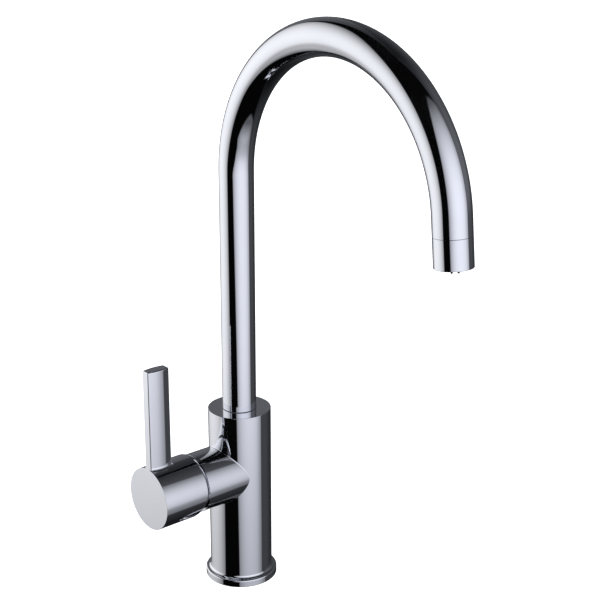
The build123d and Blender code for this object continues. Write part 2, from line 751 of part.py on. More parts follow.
NODES = {
    "base_ring": make_base_ring,
    "base_gasket": make_base_gasket,
    "tap_body": make_tap_body,
    "inlet_block": make_inlet_block,
    "hot_inlet_socket": lambda: make_inlet_socket("hot"),
    "cold_inlet_socket": lambda: make_inlet_socket("cold"),
    "filtered_inlet_socket": lambda: make_inlet_socket("filtered"),
    "inlet_block_seal": make_inlet_block_seal,
    "inlet_block_screws": make_inlet_block_screws,
    "spout_retaining_screw": make_spout_retaining_screw,
    "spout_foot": make_spout_foot,
    "spout_o_rings": make_spout_o_rings,
    "spout_lower_bush": make_spout_lower_bush,
    "spout_upper_bush": make_spout_upper_bush,
    "spout_tube": make_spout_tube,
    "filtered_water_tube": make_filtered_water_tube,
    "filtered_tube_seal": make_filtered_tube_seal,
    "outlet_ferrule": make_outlet_ferrule,
    "aerator_sleeve": make_aerator_sleeve,
    "aerator_gasket": make_aerator_gasket,
    "aerator_screen": make_aerator_screen,
    "aerator_core": make_aerator_core,
    "filtered_nozzle": make_filtered_nozzle,
    "cartridge_base": make_cartridge_base,
    "cartridge_base_seals": make_cartridge_base_seals,
    "cartridge_fixed_disc": make_cartridge_fixed_disc,
    "cartridge_moving_disc": make_cartridge_moving_disc,
    "cartridge_disc_carrier": make_cartridge_disc_carrier,
    "cartridge_case": make_cartridge_case,
    "cartridge_turret": make_cartridge_turret,
    "cartridge_pivot_pin": make_cartridge_pivot_pin,
    "cartridge_spindle": make_cartridge_spindle,
    "cartridge_nut": make_cartridge_nut,
    "cover_dome": make_cover_dome,
    "handle": make_handle,
    "handle_grub_screw": make_handle_grub_screw,
    "handle_plug": make_handle_plug,
}

os.makedirs("parts", exist_ok=True)
for node, make in NODES.items():
    export_step(make(), f"parts/{node}.step")
    print(node)
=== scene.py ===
"""Looks of a three way filtered water tap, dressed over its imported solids.

Every length in the classes below is in millimetres and is brought to metres in one place, where a
mesh is written. The tap stands on z = 0 with its axis on Z, its spout points along -Y and its side
barrel along -X.
"""

import json
import logging
import math
from dataclasses import dataclass, field
from enum import Enum

import bmesh
import bpy
import numpy as np
from mathutils import Matrix


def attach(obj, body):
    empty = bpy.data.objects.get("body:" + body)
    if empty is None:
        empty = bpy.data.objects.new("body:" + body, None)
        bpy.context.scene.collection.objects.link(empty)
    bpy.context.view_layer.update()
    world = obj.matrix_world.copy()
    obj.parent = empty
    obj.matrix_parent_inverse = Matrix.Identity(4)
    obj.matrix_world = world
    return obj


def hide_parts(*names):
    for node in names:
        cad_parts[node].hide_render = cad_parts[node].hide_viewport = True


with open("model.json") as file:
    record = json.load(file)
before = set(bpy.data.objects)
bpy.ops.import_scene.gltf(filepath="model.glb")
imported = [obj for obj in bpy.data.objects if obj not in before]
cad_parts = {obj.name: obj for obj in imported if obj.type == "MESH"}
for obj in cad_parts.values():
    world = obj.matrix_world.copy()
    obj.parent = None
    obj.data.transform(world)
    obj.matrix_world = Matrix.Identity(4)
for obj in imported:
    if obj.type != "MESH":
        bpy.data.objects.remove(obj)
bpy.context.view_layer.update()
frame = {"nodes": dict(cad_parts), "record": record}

MM = 0.001
WELD = 1e-5  # points nearer than this, in millimetres, become one vertex
ROUND = 192  # straight pieces round the body, its ring and the hub
TUBE_ROUND = 144  # and round the spout and the dome
HOLE_ROUND = 64  # and round the small holes
WALL_STEPS = 8  # pieces along a straight wall that isn't turned
LOG = logging.getLogger("tap")


# ---------------------------------------------------------------- places and outlines
@dataclass(frozen=True)
class Place:
    """A right-handed frame: an origin in millimetres and three unit directions."""

    origin: tuple[float, float, float]
    x: tuple[float, float, float]
    y: tuple[float, float, float]
    z: tuple[float, float, float]

    def turn(self, local: np.ndarray) -> np.ndarray:
        """Directions of this frame as directions of the tap."""
        return local @ np.array([self.x, self.y, self.z])

    def put(self, local: np.ndarray) -> np.ndarray:
        """Points of this frame as points of the tap."""
        return self.turn(local) + np.array(self.origin)


@dataclass(frozen=True)
class Patch:
    """A grid of points, with the exact outward direction of the surface at each."""

    points: np.ndarray
    normals: np.ndarray


class Outline:
    """A section in the half plane (radius, height), walked with the solid on its left.

    The outward direction of a straight run is its own direction turned a quarter to the right. On
    an arc it points away from the centre where the arc turns left, and to the centre otherwise.
    """

    def __init__(self, radius: float, height: float) -> None:
        """Starts the walk at one point."""
        self.at = np.array([radius, height], float)
        self.runs: list[tuple[np.ndarray, np.ndarray]] = []

    def line(self, radius: float, height: float, steps: int = 1) -> "Outline":
        """Goes straight to a point, in equal steps. A run too short to be seen is left out.

        Args:
            radius: the point's radius.
            height: its height.
            steps: how many equal pieces the run is cut into.

        Returns:
            The outline itself, so that calls can follow each other.
        """
        end = np.array([radius, height], float)
        length = np.linalg.norm(end - self.at)
        if length > WELD:
            along = (end - self.at) / length
            outward = np.array([along[1], -along[0]])
            self.runs.append((np.linspace(self.at, end, steps + 1), np.tile(outward, (steps + 1, 1))))
        self.at = end
        return self

    def arc(self, centre: tuple[float, float], start: float, end: float, steps: int) -> "Outline":
        """Goes round a centre.

        Args:
            centre: the arc's centre, as radius and height.
            start: the angle where it starts, in degrees from the outward radius.
            end: the angle where it ends. It turns left where this is the greater one.
            steps: how many straight pieces it is cut into.

        Returns:
            The outline itself, so that calls can follow each other.
        """
        angle = np.radians(np.linspace(start, end, steps + 1))
        ray = np.stack([np.cos(angle), np.sin(angle)], 1)
        size = np.linalg.norm(self.at - np.array(centre))
        points = np.array(centre) + size * ray
        self.runs.append((points, ray if end > start else -ray))
        self.at = points[-1]
        return self


def rounded(corners: list[tuple[float, float, float]], steps: int = 6) -> Outline:
    """An outline through corners, each rounded by its own radius.

    A corner of radius q between directions a and b, which turn by an angle t, is left q*tan(t/2)
    before it and taken up again as far after it, and the arc between has its centre q to the side.

    Args:
        corners: (radius, height, rounding) of each corner. The first and last aren't rounded.
        steps: straight pieces in each rounding.

    Returns:
        The outline.
    """
    spots = np.array([corner[:2] for corner in corners], float)
    path = Outline(*spots[0])
    for index in range(1, len(corners) - 1):
        before = spots[index] - spots[index - 1]
        after = spots[index + 1] - spots[index]
        before, after = before / np.linalg.norm(before), after / np.linalg.norm(after)
        turn = math.atan2(before[0] * after[1] - before[1] * after[0], float(before @ after))
        size = corners[index][2]
        if size == 0 or abs(turn) < 1e-6:
            path.line(*spots[index])
            continue
        path.line(*(spots[index] - before * size * math.tan(abs(turn) / 2)))
        side = math.copysign(1.0, turn)
        outward = np.array([before[1], -before[0]])
        centre = path.at - side * size * outward
        start = math.degrees(math.atan2(*(side * outward)[::-1]))
        path.arc(tuple(centre), start, start + math.degrees(turn), steps)
    return path.line(*spots[-1])


# ---------------------------------------------------------------- patches
def lathe(path: Outline, place: Place, around: int = TUBE_ROUND,
          span: tuple[float, float] = (0.0, 360.0)) -> list[Patch]:
    """Turns an outline about a frame's Z axis.

    A point at radius r and height h goes to (r cos a, r sin a, h) for each angle a of the span.

    Args:
        path: the outline.
        place: the frame whose Z is the axis.
        around: straight pieces in a full turn.
        span: first and last angle, in degrees from the frame's X.

    Returns:
        One patch for each run of the outline.
    """
    pieces = max(2, round(around * abs(span[1] - span[0]) / 360))
    angle = np.radians(np.linspace(span[0], span[1], pieces + 1))[None, :]
    patches = []
    for points, outward in path.runs:
        spread = [np.stack([pair[:, :1] * np.cos(angle), pair[:, :1] * np.sin(angle),
                            np.repeat(pair[:, 1:], angle.size, 1)], -1) for pair in (points, outward)]
        patches.append(Patch(place.put(spread[0]), place.turn(spread[1])))
    return patches


def pierced_wall(place: Place, radius: float, window: tuple[float, float, float, float],
                 hole: tuple[float, float, float], steps: int = 12) -> Patch:
    """A window of a round wall, unrolled to (arc length, height), with a round hole in it.

    Rays go out from the hole's centre to points spaced along the window's edge. On each ray the
    grid runs from the hole's edge to the window's, and is rolled on to the wall: the arc length u
    and height h go to (r cos(u/r), r sin(u/r), h).

    Args:
        place: the frame whose Z is the wall's axis.
        radius: the wall's radius.
        window: first angle, last angle in degrees, lowest and highest height.
        hole: the hole's centre as angle in degrees and height, and its radius.
        steps: grid pieces from the hole's edge to the window's.

    Returns:
        The patch.
    """
    low, high = (math.radians(angle) * radius for angle in window[:2])
    centre = np.array([math.radians(hole[0]) * radius, hole[1]])
    side = np.linspace(0, 1, HOLE_ROUND // 4 + 1)[:-1]
    edge = np.concatenate([
        np.stack([low + (high - low) * side, np.full_like(side, window[2])], 1),
        np.stack([np.full_like(side, high), window[2] + (window[3] - window[2]) * side], 1),
        np.stack([high + (low - high) * side, np.full_like(side, window[3])], 1),
        np.stack([np.full_like(side, low), window[3] + (window[2] - window[3]) * side], 1)])
    edge = np.concatenate([edge, edge[:1]])
    ray = edge - centre
    rim = centre + hole[2] * ray / np.linalg.norm(ray, axis=1, keepdims=True)
    share = (np.linspace(0, 1, steps + 1) ** 1.5)[:, None, None]
    flat = rim[None] * (1 - share) + edge[None] * share
    angle = flat[..., 0] / radius
    outward = np.stack([np.cos(angle), np.sin(angle), np.zeros_like(angle)], -1)
    points = outward * radius + np.stack([0 * angle, 0 * angle, flat[..., 1]], -1)
    return Patch(place.put(points), place.turn(outward))


def swung(first: np.ndarray, last: np.ndarray, steps: int) -> np.ndarray:
    """Directions that turn evenly from one to another, in the plane of the two.

    With the angle t between them, the direction at share s of the turn is
    (first sin((1-s) t) + last sin(s t)) / sin t.

    Args:
        first: the directions to start from, one in each row.
        last: the directions to end at.
        steps: how many equal turns there are.

    Returns:
        The directions, with one row of the grid for each turn.
    """
    between = np.arccos(np.clip((first * last).sum(-1), -1, 1))[None, :, None]
    share = np.linspace(0, 1, steps + 1)[:, None, None]
    return (np.sin((1 - share) * between) * first + np.sin(share * between) * last) / np.sin(between)


def straight_wall(low: np.ndarray, high: np.ndarray, outward: np.ndarray) -> Patch:
    """A wall in which each point of one line goes straight to its partner on the other.

    Args:
        low: the first line's points.
        high: the second line's points, as many.
        outward: the outward direction at each.

    Returns:
        The wall.
    """
    share = np.linspace(0, 1, WALL_STEPS + 1)[:, None, None]
    return Patch(low * (1 - share) + high * share, np.repeat(outward[None], len(share), 0))


def linked(name: str, data: bpy.types.ID) -> bpy.types.Object:
    """A new object in the scene, at the origin."""
    made = bpy.data.objects.new(name, data)
    bpy.context.scene.collection.objects.link(made)
    return made


def write_mesh(name: str, patches: list[Patch]) -> bpy.types.Object:
    """Welds patches into one closed, smooth mesh in metres.

    Each cell of a grid is a four-sided face, wound to agree with its outward directions. Points in
    the same spot become one vertex, cells that shrink to a side there become triangles, and every
    face corner keeps the outward direction of its own patch, so reflections are exact.

    Args:
        name: the object's name.
        patches: the surface's patches, in millimetres.

    Returns:
        The new object, at the origin.
    """
    points = np.concatenate([patch.points.reshape(-1, 3) for patch in patches])
    normals = np.concatenate([patch.normals.reshape(-1, 3) for patch in patches])
    normals /= np.maximum(np.linalg.norm(normals, axis=1, keepdims=True), 1e-12)
    cells, start = [], 0
    for patch in patches:
        rows, columns = patch.points.shape[:2]
        index = start + np.arange(rows * columns).reshape(rows, columns)
        corners = [index[:-1, :-1], index[1:, :-1], index[1:, 1:], index[:-1, 1:]]
        cells.append(np.stack(corners, -1).reshape(-1, 4))
        start += rows * columns
    cells = np.concatenate(cells)
    corner = points[cells]
    facing = np.cross(corner[:, 2] - corner[:, 0], corner[:, 3] - corner[:, 1])
    wrong = np.einsum("ij,ij->i", facing, normals[cells].sum(1)) < 0
    cells[wrong] = cells[wrong][:, ::-1]
    spots = np.round(points / WELD).astype(np.int64)
    _, first, welded = np.unique(spots, axis=0, return_index=True, return_inverse=True)
    welded = welded.reshape(-1)
    same = welded[cells] == welded[np.roll(cells, -1, axis=1)]
    full = cells[same.sum(1) == 0]
    shrunk = same.sum(1) == 1
    keep = (np.argmax(same[shrunk], axis=1)[:, None] + np.array([1, 2, 3])) % 4
    thirds = np.take_along_axis(cells[shrunk], keep, axis=1)
    order = np.concatenate([full.reshape(-1), thirds.reshape(-1)])
    starts = np.concatenate([np.arange(len(full)) * 4, len(full) * 4 + np.arange(len(thirds)) * 3])
    mesh = bpy.data.meshes.new(name)
    mesh.vertices.add(len(first))
    mesh.vertices.foreach_set("co", (points[first] * MM).astype(np.float32).reshape(-1))
    mesh.loops.add(len(order))
    mesh.loops.foreach_set("vertex_index", welded[order].astype(np.int32))
    mesh.polygons.add(len(starts))
    mesh.polygons.foreach_set("loop_start", starts.astype(np.int32))
    mesh.update(calc_edges=True)
    mesh.polygons.foreach_set("use_smooth", np.ones(len(starts), bool))
    mesh.normals_split_custom_set(normals[order].tolist())
    return linked(name, mesh)


def merged_copy(node: str, name: str, sharp_deg: float = 28.0) -> bpy.types.Object:
    """A copy of a solid's mesh with its loose triangles joined and its curved faces smooth.

    Args:
        node: the solid's name.
        name: the new object's name.
        sharp_deg: edges that turn by more than this stay sharp.

    Returns:
        The new object, at the origin.
    """
    mesh = frame["nodes"][node].data.copy()
    mesh.name = name
    work = bmesh.new()
    work.from_mesh(mesh)
    bmesh.ops.remove_doubles(work, verts=work.verts, dist=1e-6)
    work.to_mesh(mesh)
    work.free()
    mesh.polygons.foreach_set("use_smooth", np.ones(len(mesh.polygons), bool))
    mesh.set_sharp_from_angle(angle=math.radians(sharp_deg))
    return linked(name, mesh)


# ---------------------------------------------------------------- shaders
class Value:
    """A number worked out by a shader, so that its maths can be written as an expression."""

    def __init__(self, graph: "Graph", socket: bpy.types.NodeSocket) -> None:
        """Wraps an output socket of a graph."""
        self.graph, self.socket = graph, socket

    def maths(self, operation: str, *parts: "Value | float") -> "Value":
        """Adds one Math node for an operation on these parts."""
        node = self.graph.add("Math", {"operation": operation}, dict(enumerate(parts)))
        return Value(self.graph, node.outputs[0])

    def __add__(self, other: "Value | float") -> "Value":
        """The sum."""
        return self.maths("ADD", self, other)

    __radd__ = __add__

    def __sub__(self, other: "Value | float") -> "Value":
        """The difference."""
        return self.maths("SUBTRACT", self, other)

    def __rsub__(self, other: float) -> "Value":
        """A number less this value."""
        return self.maths("SUBTRACT", other, self)

    def __mul__(self, other: "Value | float") -> "Value":
        """The product."""
        return self.maths("MULTIPLY", self, other)

    __rmul__ = __mul__

    def __truediv__(self, other: "Value | float") -> "Value":
        """The quotient."""
        return self.maths("DIVIDE", self, other)

    def size(self) -> "Value":
        """The value without its sign."""
        return self.maths("ABSOLUTE", self)

    def wave(self) -> "Value":
        """The sine of the value in radians."""
        return self.maths("SINE", self)

    def step(self, low: float, high: float) -> "Value":
        """A smooth rise from 0 at low to 1 at high, or a fall where low is the greater.

        Args:
            low: where the result is 0.
            high: where the result is 1.

        Returns:
            The result, between 0 and 1.
        """
        falls = low > high
        ends = {1: min(low, high), 2: max(low, high), 3: 1.0 if falls else 0.0, 4: 0.0 if falls else 1.0}
        node = self.graph.add("MapRange", {"interpolation_type": "SMOOTHSTEP"}, {0: self, **ends})
        return Value(self.graph, node.outputs[0])


class Graph:
    """The nodes of one material or world."""

    def __init__(self, owner: "bpy.types.Material | bpy.types.World") -> None:
        """Turns the owner's nodes on and starts from an empty tree."""
        owner.use_nodes = True
        self.tree = owner.node_tree
        self.tree.nodes.clear()

    def add(self, kind: str, settings: dict | None = None, sockets: dict | None = None) -> bpy.types.Node:
        """Adds a node.

        Args:
            kind: the node's type without ShaderNode in front.
            settings: its settings, set first. "stops" holds a colour ramp's (place, colour) pairs.
            sockets: a value, or a socket to link, for each input name or number.

        Returns:
            The node.
        """
        node = self.tree.nodes.new("ShaderNode" + kind)
        for name, setting in (settings or {}).items():
            if name == "stops":
                for spare in range(len(setting) - 2):
                    node.color_ramp.elements.new((spare + 1) / len(setting))
                for stop, (place, colour) in zip(node.color_ramp.elements, setting):
                    stop.position, stop.color = place, (*colour, 1.0)
            else:
                setattr(node, name, setting)
        for name, given in (sockets or {}).items():
            given = given.socket if isinstance(given, Value) else given
            if isinstance(given, bpy.types.NodeSocket):
                self.tree.links.new(given, node.inputs[name])
            else:
                node.inputs[name].default_value = given
        return node

    def value(self, kind: str, settings: dict | None = None, sockets: dict | None = None,
              output: str | int = 0) -> Value:
        """Adds a node and takes one of its outputs as a value."""
        return Value(self, self.add(kind, settings, sockets).outputs[output])

    def place(self) -> bpy.types.NodeSocket:
        """The spot on the object, in metres from the tap's origin."""
        return self.add("TexCoord").outputs["Object"]

    def noise(self, scale: float, detail: float = 2.0, stretch: tuple[float, float, float] = (1, 1, 1),
              roughness: float = 0.5) -> Value:
        """Noise on the object, centred on a half.

        Args:
            scale: cells in a metre.
            detail: octaves.
            stretch: share of the scale along each axis. Below 1 it draws the cells out.
            roughness: how much the finer octaves weigh.

        Returns:
            The noise.
        """
        sizes = tuple(scale * part for part in stretch)
        spot = self.add("Mapping", {}, {"Vector": self.place(), "Scale": sizes}).outputs[0]
        return self.value("TexNoise", {}, {"Vector": spot, "Scale": 1.0, "Detail": detail,
                                           "Roughness": roughness})

    def mix(self, share: "Value | float", low: object, high: object) -> bpy.types.NodeSocket:
        """A colour between two others."""
        node = self.add("Mix", {"data_type": "RGBA"}, {"Factor": share, 6: low, 7: high})
        return node.outputs[2]

    def bump(self, height: Value, strength: float, distance: float) -> bpy.types.NodeSocket:
        """Normals tilted by a height, whose full swing is a distance in metres."""
        sockets = {"Height": height, "Strength": strength, "Distance": distance}
        return self.add("Bump", {}, sockets).outputs[0]


class Slot(Enum):
    """The record's material slots."""

    CHROME = "chrome"
    BRASS = "bare_brass"
    RUBBER = "black_rubber"
    STEEL = "steel"
    WHITE_PLASTIC = "white_plastic"
    DARK_PLASTIC = "dark_plastic"
    CERAMIC = "ceramic"


def colour(red: float, green: float, blue: float) -> tuple[float, float, float, float]:
    """A colour with full alpha."""
    return (red, green, blue, 1.0)


@dataclass(frozen=True)
class Chrome:
    """Mirror chrome: a cool tint, faint polishing haze and hairline wipe marks."""

    tint: tuple[float, float, float] = (0.83, 0.84, 0.88)
    haze_tint: tuple[float, float, float] = (0.815, 0.826, 0.868)
    roughness: float = 0.035
    haze: float = 0.03
    hairs: float = 0.05
    haze_scale: float = 38.0
    hair_scale: float = 900.0

    def paint(self, graph: Graph) -> dict:
        """Patches of haze a few centimetres wide, and fine wipe marks drawn out across them."""
        patches = graph.noise(self.haze_scale, 3).step(0.35, 0.75)
        wipes = graph.noise(self.hair_scale, 2, (1.0, 1.0, 0.05)).step(0.55, 0.75)
        shine = self.roughness + self.haze * patches + self.hairs * wipes * patches
        tint = graph.mix(patches, colour(*self.tint), colour(*self.haze_tint))
        return {"Base Color": tint, "Metallic": 1.0, "Roughness": shine}


@dataclass(frozen=True)
class Machined:
    """Turned or milled metal: fine tool lines and a little patchy tarnish."""

    tint: tuple[float, float, float]
    tarnish: tuple[float, float, float]
    roughness: float = 0.3
    lines: float = 4200.0
    grain_dulls: float = 0.12
    stain_dulls: float = 0.14
    depth: float = 2e-5

    def paint(self, graph: Graph) -> dict:
        """Tool lines along Z as fine waves of height, with patchy tarnish between rubbed places."""
        stain = graph.noise(160, 4).step(0.4, 0.75)
        grain = graph.noise(1500, 2, (1.0, 1.0, 0.15))
        up = graph.value("SeparateXYZ", {}, {"Vector": graph.place()}, "Z")
        lines = (up * self.lines).wave() * 0.5 + grain
        shine = self.roughness + self.grain_dulls * grain + self.stain_dulls * stain
        tint = graph.mix(stain, colour(*self.tint), colour(*self.tarnish))
        return {"Base Color": tint, "Metallic": 1.0, "Roughness": shine,
                "Normal": graph.bump(lines, 0.25, self.depth)}


@dataclass(frozen=True)
class Moulded:
    """Moulded plastic, rubber or ceramic: a fine skin and faint, dusty mottling."""

    tint: tuple[float, float, float]
    dusty: tuple[float, float, float]
    roughness: float = 0.45
    skin: float = 2600.0
    depth: float = 2e-5
    mottle_dulls: float = 0.14
    skin_dulls: float = 0.06

    def paint(self, graph: Graph) -> dict:
        """A fine bump for the skin, and patches where the surface is a little duller and paler."""
        mottle = graph.noise(210, 4).step(0.35, 0.8)
        skin = graph.noise(self.skin, 3)
        return {"Base Color": graph.mix(mottle, colour(*self.tint), colour(*self.dusty)),
                "Roughness": self.roughness + self.mottle_dulls * mottle + self.skin_dulls * skin,
                "Normal": graph.bump(skin, 0.35, self.depth)}


FINISHES = {
    Slot.CHROME: Chrome(),
    Slot.BRASS: Machined((0.78, 0.62, 0.34), (0.62, 0.45, 0.22), 0.26),
    Slot.RUBBER: Moulded((0.03, 0.03, 0.032), (0.052, 0.052, 0.055), 0.6, 1800.0, 3e-5),
    Slot.STEEL: Machined((0.62, 0.62, 0.63), (0.5, 0.5, 0.52), 0.24, 5200.0),
    Slot.WHITE_PLASTIC: Moulded((0.82, 0.82, 0.8), (0.76, 0.75, 0.72), 0.42),
    Slot.DARK_PLASTIC: Moulded((0.035, 0.036, 0.04), (0.06, 0.061, 0.066), 0.4),
    Slot.CERAMIC: Moulded((0.9, 0.9, 0.88), (0.86, 0.86, 0.83), 0.12, 4200.0, 4e-6),
}


def finish_material(slot: Slot) -> bpy.types.Material:
    """The material of a slot, made once and kept under the slot's name."""
    name = "finish_" + slot.value
    if name not in bpy.data.materials:
        graph = Graph(bpy.data.materials.new(name))
        skin = graph.add("BsdfPrincipled", {}, FINISHES[slot].paint(graph))
        graph.add("OutputMaterial", {}, {"Surface": skin.outputs[0]})
    return bpy.data.materials[name]


def dress(piece: bpy.types.Object, body: str, slot: Slot) -> bpy.types.Object:
    """Gives a piece its finish and its slot, and lets it ride on a body.

    Args:
        piece: the piece.
        body: the body it moves with.
        slot: the record's slot whose finish it takes.

    Returns:
        The piece.
    """
    piece.data.materials.clear()
    piece.data.materials.append(finish_material(slot))
    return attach(piece, body)


UPRIGHT = Place((0.0, 0.0, 0.0), (1.0, 0.0, 0.0), (0.0, 1.0, 0.0), (0.0, 0.0, 1.0))
BARREL_Z = 87.4
PIVOT_W = 54.0  # w is a distance outwards along the side barrel, from the tap's axis
# The frame of the side barrel: its Z runs outwards along -X, and its X is up.
BARREL = Place((0.0, 0.0, BARREL_Z), (0.0, 0.0, 1.0), (0.0, 1.0, 0.0), (-1.0, 0.0, 0.0))


# ---------------------------------------------------------------- sub-assemblies
@dataclass
class BaseRing:
    """The ring under the body: a flange with a rounded edge, swept up to the wall by a cove."""

    outer_r: float = 26.9
    bore_r: float = 20.3
    body_r: float = 23.33
    ledge_z: float = 2.0
    top_z: float = 5.6
    top_edge_r: float = 1.1
    foot_edge_r: float = 0.4
    cove_r: float = 2.2
    land: float = 0.15
    groove: tuple[float, float, float] = (22.3, 24.9, 1.2)

    def section(self) -> Outline:
        """The ring's outline: underside with its groove, edge, flat top, cove, bore and ledge."""
        inner, outer, depth = self.groove
        cove_centre, cove_top = self.body_r + self.land + self.cove_r, self.top_z + self.cove_r
        path = rounded([(self.bore_r, 0, 0), (inner, 0, 0), (inner, depth, 0), (outer, depth, 0),
                        (outer, 0, 0), (self.outer_r, 0, self.foot_edge_r),
                        (self.outer_r, self.top_z, self.top_edge_r),
                        (cove_centre, self.top_z, 0)], steps=12)
        path.arc((cove_centre, cove_top), -90, -180, 16)
        return path.line(self.body_r, cove_top).line(self.body_r, self.ledge_z).line(
            self.bore_r, self.ledge_z).line(self.bore_r, 0)

    def build(self) -> list[bpy.types.Object]:
        """Makes the ring's skin."""
        ring = write_mesh("base_ring_skin", lathe(self.section(), UPRIGHT, ROUND))
        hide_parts("base_ring")
        return [dress(ring, "tap", Slot.CHROME)]


@dataclass
class Body:
    """The upright cylinder and its side stub, joined by a small fillet, one casting."""

    radius: float = 23.3
    bottom_z: float = 2.0
    top_z: float = 136.2
    edge_r: float = 0.3
    foot_bore_r: float = 20.3
    collar_r: float = 12.6
    stub_r: float = 21.75
    stub_end_w: float = 44.4
    stub_edge_r: float = 0.2
    seat_r: float = 21.3
    socket_r: float = 18.6
    socket_w: float = 36.5
    nut_bore_r: float = 15.03
    fillet_r: float = 0.8
    screw_r: float = 2.5
    screw_z: float = 122.3
    screw_deg: float = 90.0
    screw_hole_depth: float = 3.0
    foot_bore_depth: float = 6.0
    collar_depth: float = 4.0
    window_deg: tuple[float, float] = (75.0, 105.0)
    window_half: float = 6.0

    def cylinder(self) -> list[Patch]:
        """The upright wall, with the retaining screw's hole at the back, its top and its two bores."""
        low, high = self.screw_z - self.window_half, self.screw_z + self.window_half
        foot = Outline(self.foot_bore_r, self.bottom_z + self.foot_bore_depth)
        foot.line(self.foot_bore_r, self.bottom_z)
        foot.line(self.radius, self.bottom_z).line(self.radius, low)
        band = Outline(self.radius, low).line(self.radius, high, 16)
        top = rounded([(self.radius, high, 0), (self.radius, self.top_z, self.edge_r),
                       (self.collar_r, self.top_z, 0), (self.collar_r, self.top_z - self.collar_depth, 0)])
        start, end = self.window_deg
        window, spot = (start, end, low, high), (self.screw_deg, self.screw_z, self.screw_r)
        hole = pierced_wall(UPRIGHT, self.radius, window, spot)
        across = Place((0.0, 0.0, self.screw_z), (1.0, 0.0, 0.0), (0.0, 0.0, -1.0), (0.0, 1.0, 0.0))
        screw_hole = Outline(self.screw_r, self.radius)
        bore = lathe(screw_hole.line(self.screw_r, self.radius - self.screw_hole_depth), across, HOLE_ROUND)
        return [*lathe(foot, UPRIGHT, ROUND), *lathe(band, UPRIGHT, ROUND, (end, start + 360)), hole, *bore,
                *lathe(top, UPRIGHT, ROUND)]

    def junction(self, around: int = 240, steps: int = 8) -> tuple[Patch, np.ndarray]:
        """The fillet between stub and wall, as a ball of its radius would leave it.

        The ball's centre lies on the wall and on the stub when both are grown by the ball's
        radius q: at angle a round the stub, y = (s+q) sin a, z = (s+q) cos a and
        x = -sqrt((r+q)^2 - y^2). It touches the wall on the ray to the tap's axis and the stub on
        the ray to the stub's axis, and the fillet is the ball's arc between the two.

        Args:
            around: straight pieces round the stub.
            steps: straight pieces across the fillet.

        Returns:
            The fillet, and its touching line on the stub as points round the barrel.
        """
        q = self.fillet_r
        angle = np.linspace(0, 2 * math.pi, around + 1)
        y, z = (self.stub_r + q) * np.sin(angle), (self.stub_r + q) * np.cos(angle)
        x = -np.sqrt((self.radius + q) ** 2 - y**2)
        centre = np.stack([x, y, z], -1)
        to_wall = np.stack([-x, -y, 0 * z], -1) / (self.radius + q)
        to_stub = np.stack([0 * x, -y, -z], -1) / (self.stub_r + q)
        ray = swung(to_wall, to_stub, steps)
        points = centre[None] + q * ray + np.array([0, 0, BARREL_Z])
        return Patch(points, -ray), points[-1]

    def stub(self) -> list[Patch]:
        """The stub from its fillet to its rim, with the round seat behind the dome."""
        fillet, line = self.junction()
        angle = np.linspace(0, 2 * math.pi, len(line))
        outward = np.stack([0 * angle, np.sin(angle), np.cos(angle)], -1)
        end = line.copy()
        end[:, 0] = -(self.stub_end_w - self.stub_edge_r)
        wall = straight_wall(line, end, outward)
        rim_r = math.sqrt(self.seat_r**2 - (PIVOT_W - self.stub_end_w) ** 2)
        first = math.degrees(math.atan2(self.stub_end_w - PIVOT_W, rim_r))
        last = math.degrees(math.acos(self.socket_r / self.seat_r))
        rim = rounded([(self.stub_r, self.stub_end_w - self.stub_edge_r, 0),
                       (self.stub_r, self.stub_end_w, self.stub_edge_r), (rim_r, self.stub_end_w, 0)])
        rim.arc((0.0, PIVOT_W), first, -last, 16)
        rim.line(self.socket_r, self.socket_w).line(self.nut_bore_r, self.socket_w)
        return [fillet, wall, *lathe(rim, BARREL, len(line) - 1)]

    def build(self) -> list[bpy.types.Object]:
        """Makes the body's skin."""
        skin = write_mesh("tap_body_skin", [*self.cylinder(), *self.stub()])
        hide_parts("tap_body")
        return [dress(skin, "tap", Slot.CHROME)]


